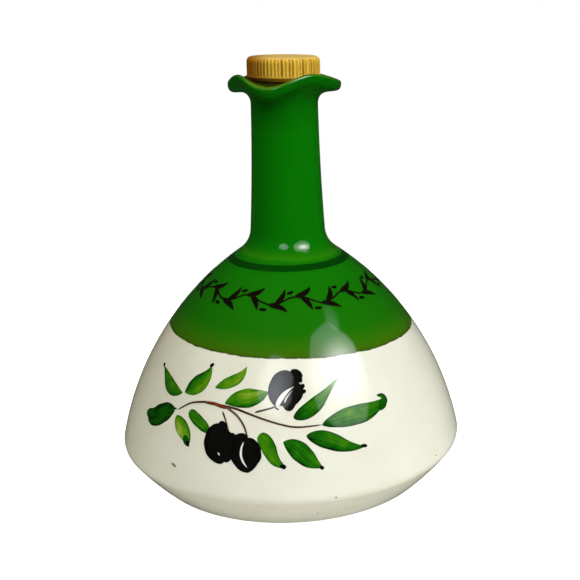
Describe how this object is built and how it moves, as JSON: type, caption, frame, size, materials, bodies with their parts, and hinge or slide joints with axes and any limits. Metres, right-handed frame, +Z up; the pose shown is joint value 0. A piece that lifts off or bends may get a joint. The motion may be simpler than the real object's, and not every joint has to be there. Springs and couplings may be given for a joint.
{
  "type": "oil cruet",
  "caption": "Glazed ceramic oil cruet: a wide conical body, a slim neck with a wavy pouring lip, and a fluted wooden stopper.",
  "frame": {"origin": "centre of the flat base, on the surface that the cruet stands on", "axes": "+Z up along the bottle's axis, -Y out of the decorated front, +X to the right as seen from the front"},
  "size_m": [0.148, 0.148, 0.18],
  "materials": {
    "glazed_earthenware": "glossy glaze, deep green on the neck and shoulder, cream below, with a hand-painted olive spray",
    "turned_wood": "satin varnish over fine upright flutes"
  },
  "bodies": {
    "root": {"bottle": "glazed_earthenware", "stopper": "turned_wood"}
  },
  "joints": []
}
